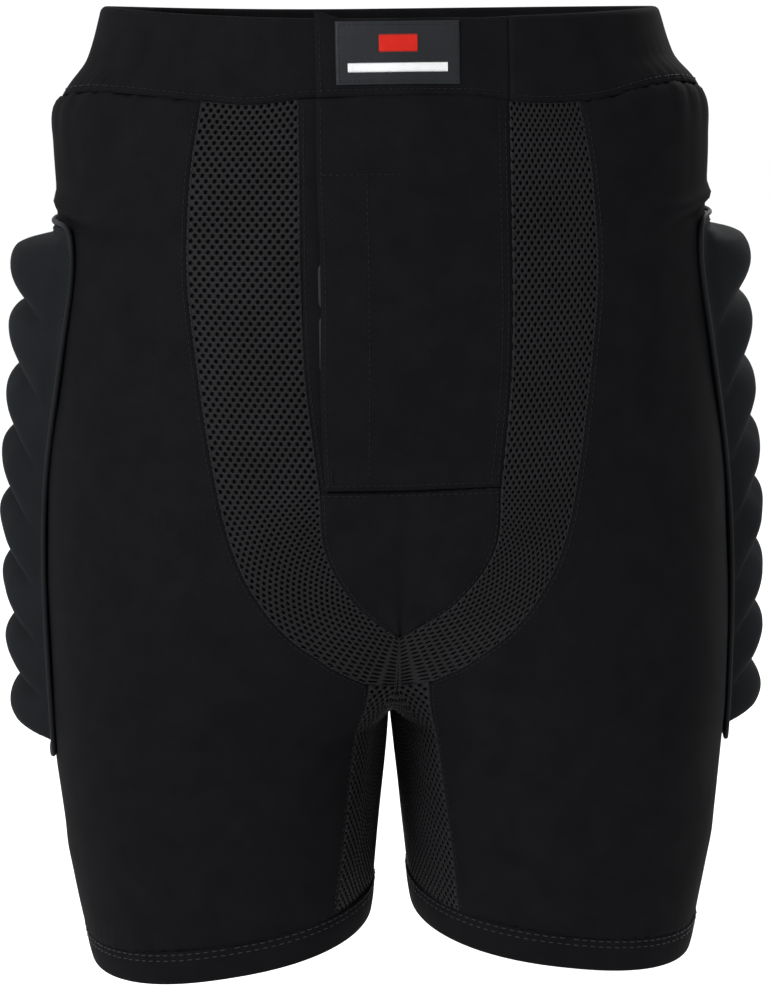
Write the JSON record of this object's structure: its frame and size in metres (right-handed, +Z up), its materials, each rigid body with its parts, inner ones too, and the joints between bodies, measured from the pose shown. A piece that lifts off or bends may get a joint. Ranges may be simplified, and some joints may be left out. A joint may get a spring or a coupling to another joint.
{
  "type": "padded impact shorts",
  "caption": "Close-fitting knit shorts with mesh inserts, ribbed foam impact pads on hips, seat and tailbone, and a hook-and-loop waist and fly.",
  "frame": {"origin": "centre of the waist opening, level with the waistband's upper edge at the sides", "axes": "+Z up out of the waist opening, +X to the wearer's left, -Y to the wearer's front"},
  "size_m": [0.3766, 0.259, 0.462],
  "materials": {
    "knit_jersey": "matt black stretch knit with a faint rib",
    "air_mesh": "open black warp-knit mesh",
    "pad_cover_knit": "smooth black tricot moulded over foam, soft sheen",
    "pad_foam": "matt dark EVA foam",
    "piping": "corded bias binding",
    "elastic_webbing": "ribbed woven elastic",
    "hook_and_loop": "nylon hook and loop pile",
    "woven_label": "damask woven satin label"
  },
  "bodies": {
    "shell": {"crotch_panel": "knit_jersey", "fly_loop_tape": "hook_and_loop", "fly_underlap": "knit_jersey", "front_mesh_left": "air_mesh", "front_mesh_right": "air_mesh", "hem_band_left": "knit_jersey", "hem_band_right": "knit_jersey", "hip_pad_left_cover": "pad_cover_knit", "hip_pad_left_foam": "pad_foam", "hip_pad_left_piping": "piping", "hip_pad_right_cover": "pad_cover_knit", "hip_pad_right_foam": "pad_foam", "hip_pad_right_piping": "piping", "inseam_mesh_left": "air_mesh", "inseam_mesh_right": "air_mesh", "seat_pad_left_cover": "pad_cover_knit", "seat_pad_left_foam": "pad_foam", "seat_pad_left_piping": "piping", "seat_pad_right_cover": "pad_cover_knit", "seat_pad_right_foam": "pad_foam", "seat_pad_right_piping": "piping", "seat_panel_left": "knit_jersey", "seat_panel_right": "knit_jersey", "tailbone_pad_cover": "pad_cover_knit", "tailbone_pad_foam": "pad_foam", "tailbone_pad_piping": "piping", "thigh_panel_left": "knit_jersey", "thigh_panel_right": "knit_jersey", "waist_loop_tape": "hook_and_loop", "waistband_casing": "knit_jersey", "waistband_elastic": "elastic_webbing"},
    "front_closure": {"closure_tab": "knit_jersey", "tab_hook_tape": "hook_and_loop", "label_patch": "woven_label", "fly_flap": "knit_jersey", "fly_hook_tape": "hook_and_loop"}
  },
  "joints": [
    {"name": "closure_hinge", "type": "hinge", "parent": "shell", "child": "front_closure", "pos_m": [0.0536, -0.093, 0], "axis": [0, 0.0993, 0.9951], "range_deg": [0, 120]}
  ]
}
